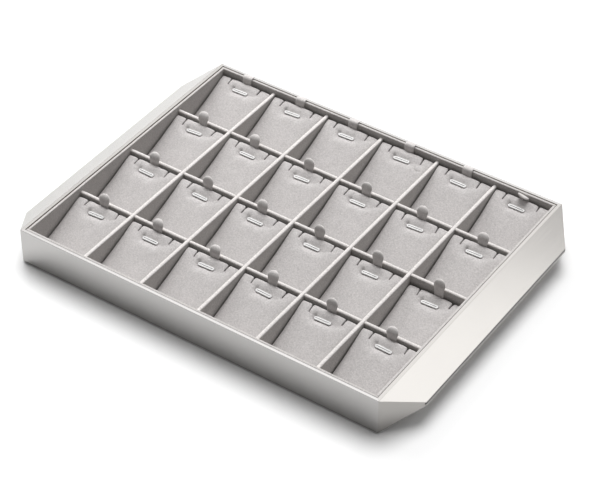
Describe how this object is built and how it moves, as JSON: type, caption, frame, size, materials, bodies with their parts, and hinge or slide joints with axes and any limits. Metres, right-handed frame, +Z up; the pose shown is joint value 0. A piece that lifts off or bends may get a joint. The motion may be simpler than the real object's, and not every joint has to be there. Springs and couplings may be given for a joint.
{
  "type": "jewelry display tray",
  "caption": "Low brushed metal counter tray with chamfered end wings and a microfibre liner of sloping lift-out pads for pendants.",
  "frame": {"origin": "centre of the underside, on the surface that the tray stands on", "axes": "+X along the front to the right wing, +Y from front to back, +Z up"},
  "size_m": [0.35, 0.25, 0.0351],
  "materials": {
    "brushed_sheet": "satin, brushed lengthwise",
    "eyelet_metal": "polished nickel",
    "liner_microfibre": "short nap microfibre, warm light grey",
    "pad_microfibre": "short nap microfibre over foam, warm light grey",
    "core_board": "raw fibreboard",
    "felt": "pressed felt"
  },
  "bodies": {
    "tray": {"base_felt": "felt", "base_board": "core_board", "front_panel": "brushed_sheet", "back_panel": "brushed_sheet", "left_wing": "brushed_sheet", "right_wing": "brushed_sheet", "wing_cores": "core_board", "edge_boards": "core_board", "liner_floor": "liner_microfibre", "liner_walls": "liner_microfibre", "column_dividers": "liner_microfibre", "row_dividers": "liner_microfibre"},
    "pad_r1c1": {"pad_row1_col1": "pad_microfibre", "eyelet_row1_col1": "eyelet_metal"},
    "pad_r1c2": {"pad_row1_col2": "pad_microfibre", "eyelet_row1_col2": "eyelet_metal"},
    "pad_r1c3": {"pad_row1_col3": "pad_microfibre", "eyelet_row1_col3": "eyelet_metal"},
    "pad_r1c4": {"pad_row1_col4": "pad_microfibre", "eyelet_row1_col4": "eyelet_metal"},
    "pad_r1c5": {"pad_row1_col5": "pad_microfibre", "eyelet_row1_col5": "eyelet_metal"},
    "pad_r1c6": {"pad_row1_col6": "pad_microfibre", "eyelet_row1_col6": "eyelet_metal"},
    "pad_r2c1": {"pad_row2_col1": "pad_microfibre", "eyelet_row2_col1": "eyelet_metal"},
    "pad_r2c2": {"pad_row2_col2": "pad_microfibre", "eyelet_row2_col2": "eyelet_metal"},
    "pad_r2c3": {"pad_row2_col3": "pad_microfibre", "eyelet_row2_col3": "eyelet_metal"},
    "pad_r2c4": {"pad_row2_col4": "pad_microfibre", "eyelet_row2_col4": "eyelet_metal"},
    "pad_r2c5": {"pad_row2_col5": "pad_microfibre", "eyelet_row2_col5": "eyelet_metal"},
    "pad_r2c6": {"pad_row2_col6": "pad_microfibre", "eyelet_row2_col6": "eyelet_metal"},
    "pad_r3c1": {"pad_row3_col1": "pad_microfibre", "eyelet_row3_col1": "eyelet_metal"},
    "pad_r3c2": {"pad_row3_col2": "pad_microfibre", "eyelet_row3_col2": "eyelet_metal"},
    "pad_r3c3": {"pad_row3_col3": "pad_microfibre", "eyelet_row3_col3": "eyelet_metal"},
    "pad_r3c4": {"pad_row3_col4": "pad_microfibre", "eyelet_row3_col4": "eyelet_metal"},
    "pad_r3c5": {"pad_row3_col5": "pad_microfibre", "eyelet_row3_col5": "eyelet_metal"},
    "pad_r3c6": {"pad_row3_col6": "pad_microfibre", "eyelet_row3_col6": "eyelet_metal"},
    "pad_r4c1": {"pad_row4_col1": "pad_microfibre", "eyelet_row4_col1": "eyelet_metal"},
    "pad_r4c2": {"pad_row4_col2": "pad_microfibre", "eyelet_row4_col2": "eyelet_metal"},
    "pad_r4c3": {"pad_row4_col3": "pad_microfibre", "eyelet_row4_col3": "eyelet_metal"},
    "pad_r4c4": {"pad_row4_col4": "pad_microfibre", "eyelet_row4_col4": "eyelet_metal"},
    "pad_r4c5": {"pad_row4_col5": "pad_microfibre", "eyelet_row4_col5": "eyelet_metal"},
    "pad_r4c6": {"pad_row4_col6": "pad_microfibre", "eyelet_row4_col6": "eyelet_metal"}
  },
  "joints": [
    {"name": "lift_r1c1", "type": "slide", "parent": "tray", "child": "pad_r1c1", "axis": [0, 0, 1], "range_m": [0, 0.032]},
    {"name": "lift_r1c2", "type": "slide", "parent": "tray", "child": "pad_r1c2", "axis": [0, 0, 1], "range_m": [0, 0.032]},
    {"name": "lift_r1c3", "type": "slide", "parent": "tray", "child": "pad_r1c3", "axis": [0, 0, 1], "range_m": [0, 0.032]},
    {"name": "lift_r1c4", "type": "slide", "parent": "tray", "child": "pad_r1c4", "axis": [0, 0, 1], "range_m": [0, 0.032]},
    {"name": "lift_r1c5", "type": "slide", "parent": "tray", "child": "pad_r1c5", "axis": [0, 0, 1], "range_m": [0, 0.032]},
    {"name": "lift_r1c6", "type": "slide", "parent": "tray", "child": "pad_r1c6", "axis": [0, 0, 1], "range_m": [0, 0.032]},
    {"name": "lift_r2c1", "type": "slide", "parent": "tray", "child": "pad_r2c1", "axis": [0, 0, 1], "range_m": [0, 0.032]},
    {"name": "lift_r2c2", "type": "slide", "parent": "tray", "child": "pad_r2c2", "axis": [0, 0, 1], "range_m": [0, 0.032]},
    {"name": "lift_r2c3", "type": "slide", "parent": "tray", "child": "pad_r2c3", "axis": [0, 0, 1], "range_m": [0, 0.032]},
    {"name": "lift_r2c4", "type": "slide", "parent": "tray", "child": "pad_r2c4", "axis": [0, 0, 1], "range_m": [0, 0.032]},
    {"name": "lift_r2c5", "type": "slide", "parent": "tray", "child": "pad_r2c5", "axis": [0, 0, 1], "range_m": [0, 0.032]},
    {"name": "lift_r2c6", "type": "slide", "parent": "tray", "child": "pad_r2c6", "axis": [0, 0, 1], "range_m": [0, 0.032]},
    {"name": "lift_r3c1", "type": "slide", "parent": "tray", "child": "pad_r3c1", "axis": [0, 0, 1], "range_m": [0, 0.032]},
    {"name": "lift_r3c2", "type": "slide", "parent": "tray", "child": "pad_r3c2", "axis": [0, 0, 1], "range_m": [0, 0.032]},
    {"name": "lift_r3c3", "type": "slide", "parent": "tray", "child": "pad_r3c3", "axis": [0, 0, 1], "range_m": [0, 0.032]},
    {"name": "lift_r3c4", "type": "slide", "parent": "tray", "child": "pad_r3c4", "axis": [0, 0, 1], "range_m": [0, 0.032]},
    {"name": "lift_r3c5", "type": "slide", "parent": "tray", "child": "pad_r3c5", "axis": [0, 0, 1], "range_m": [0, 0.032]},
    {"name": "lift_r3c6", "type": "slide", "parent": "tray", "child": "pad_r3c6", "axis": [0, 0, 1], "range_m": [0, 0.032]},
    {"name": "lift_r4c1", "type": "slide", "parent": "tray", "child": "pad_r4c1", "axis": [0, 0, 1], "range_m": [0, 0.032]},
    {"name": "lift_r4c2", "type": "slide", "parent": "tray", "child": "pad_r4c2", "axis": [0, 0, 1], "range_m": [0, 0.032]},
    {"name": "lift_r4c3", "type": "slide", "parent": "tray", "child": "pad_r4c3", "axis": [0, 0, 1], "range_m": [0, 0.032]},
    {"name": "lift_r4c4", "type": "slide", "parent": "tray", "child": "pad_r4c4", "axis": [0, 0, 1], "range_m": [0, 0.032]},
    {"name": "lift_r4c5", "type": "slide", "parent": "tray", "child": "pad_r4c5", "axis": [0, 0, 1], "range_m": [0, 0.032]},
    {"name": "lift_r4c6", "type": "slide", "parent": "tray", "child": "pad_r4c6", "axis": [0, 0, 1], "range_m": [0, 0.032]}
  ]
}
